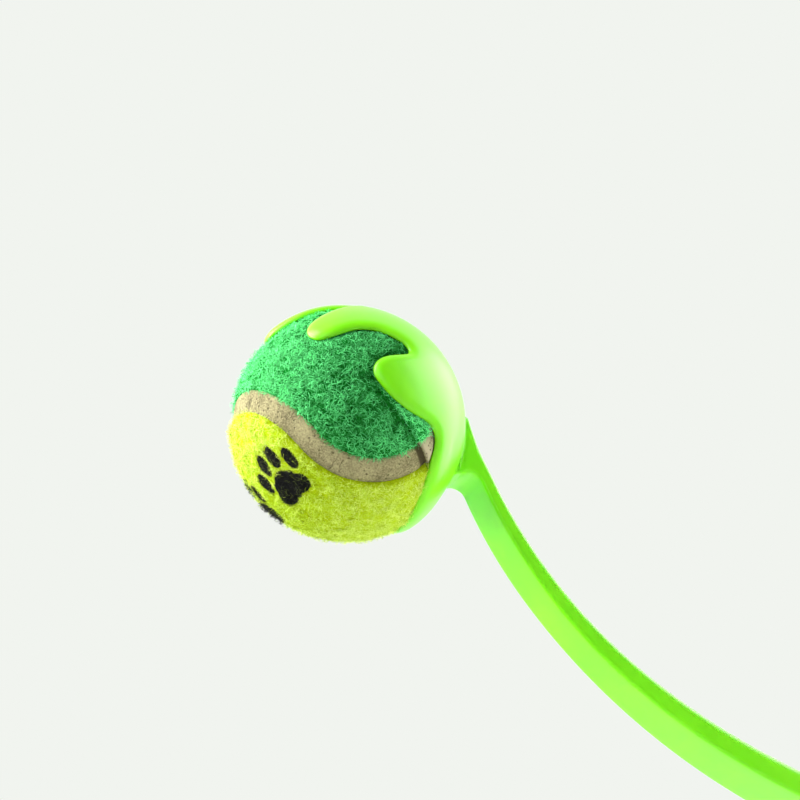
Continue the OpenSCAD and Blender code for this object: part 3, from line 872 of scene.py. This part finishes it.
# Studio: a pale floor under the grip, a soft light on each side, one above and a weak one in
# front, and a plain backdrop that only the camera and clear reflections see. The camera looks
# at the cup from its open side and a little below.
camera_right = np.array([0.7407, -0.3452, -0.5764])
camera_up = np.array([0.4625, -0.3603, 0.8101])
camera_back = np.array([-0.4873, -0.8666, -0.1071])
camera_away = 0.8
aim_right, aim_up = 0.0149, 0.0066
sensor_wide, picture_wide, pixels_per_metre = 36, 800, 3590
floor_drop, floor_radius = 0.0475, 1.2
floor_middle, fade_from, fade_to = (-0.06, 0, -floor_drop), 0.16, 0.5
floor_dark, floor_pale = (236, 238, 232), (242, 244, 239)
floor_seen_dark, floor_seen_pale = (186, 188, 184), (192, 194, 190)
sky, backdrop = (232, 236, 236), (241, 244, 239)
mirror_front, mirror_behind, fill_light = 0.2, 1.8, 0.03
lamp_up = (0.1, 0.2, 1.0)

here, fill = finish_of("studio_floor", Roughness=0.9)
camera_ray = here.add("ShaderNodeLightPath")
from_middle = here.add("ShaderNodeVectorMath", {"operation": "DISTANCE"},
                       {0: here, 1: floor_middle}, 1)
mottle = here.noise(40)
paint = camera_ray.tint(mottle.tint(floor_dark, floor_pale),
                        mottle.tint(floor_seen_dark, floor_seen_pale))
floor_paint = fill(Base_Color=paint, Alpha=1 - camera_ray * from_middle.step(fade_from, fade_to))
spread = np.linspace(0.0, floor_radius, 12)[:, None]
disc = np.stack([spread * np.cos(circle), spread * np.sin(circle),
                 0 * spread * circle - floor_drop], -1)
mesh = bpy.data.meshes.new("studio_floor")
mesh.from_pydata(disc.reshape(-1, 3).tolist(), [],
                 grid(len(spread), len(circle), False, True)[:, ::-1].tolist())
mesh.materials.append(floor_paint)
floor = bpy.data.objects.new("studio_floor", mesh)
bpy.context.scene.collection.objects.link(floor)
floor.visible_glossy = False

world = bpy.data.worlds.new("studio")
world.use_nodes = True
bpy.context.scene.world = world
tree = world.node_tree
rays = tree.nodes.new("ShaderNodeLightPath").outputs
seen = Sock(tree, rays["Is Camera Ray"]) + Sock(tree, rays["Is Transmission Ray"])
mirrored = Sock(tree, rays["Is Glossy Ray"])
behind = seen.add("ShaderNodeTexCoord").dot(-camera_back).step(-0.3, 0.7)
mirror = mirror_front + (mirror_behind - mirror_front) * behind
strength = seen + mirrored * mirror + (1 - seen - mirrored) * fill_light
background = tree.nodes["Background"].inputs
tree.links.new(seen.tint(sky, backdrop).socket, background["Color"])
tree.links.new(strength.socket, background["Strength"])


def stand(name, data, right, up, back, place):
    """A lamp or camera at a place, with its own axes along those three directions."""
    matrix = np.eye(4)
    matrix[:3] = np.stack([right, up, back, place], 1)
    thing = bpy.data.objects.new(name, data)
    thing.matrix_world = matrix.T.tolist()
    bpy.context.scene.collection.objects.link(thing)
    return thing


def softbox(name, right, up, back, size, power):
    """A square lamp that faces the ball from a place given along the camera's axes, in metres."""
    lamp = bpy.data.lights.new(name, "AREA")
    lamp.size, lamp.energy = size, power
    place = seat + right * camera_right + up * camera_up + back * camera_back
    away = (place - seat) / np.linalg.norm(place - seat)
    side = np.cross(lamp_up, away)
    side /= np.linalg.norm(side)
    stand(name, lamp, side, np.cross(away, side), away, place)


softbox("light_left", right=-0.92, up=0.2, back=-0.08, size=0.9, power=24.5)
softbox("light_high", right=-0.6, up=0.7, back=0.1, size=0.6, power=9)
softbox("light_right", right=0.9, up=0.2, back=-0.32, size=1.1, power=19.5)
softbox("light_front", right=-0.12, up=0.26, back=0.5, size=0.35, power=0.95)

lens = bpy.data.cameras.new("photo_camera")
lens.sensor_width = sensor_wide
lens.lens = sensor_wide * camera_away * pixels_per_metre / picture_wide
lens.clip_start = 0.01
camera_at = seat + aim_right * camera_right + aim_up * camera_up + camera_away * camera_back
bpy.context.scene.camera = stand("photo_camera", lens, camera_right, camera_up, camera_back,
                                 camera_at)
bpy.context.scene.view_settings.view_transform = "Standard"

bpy.context.view_layer.update()
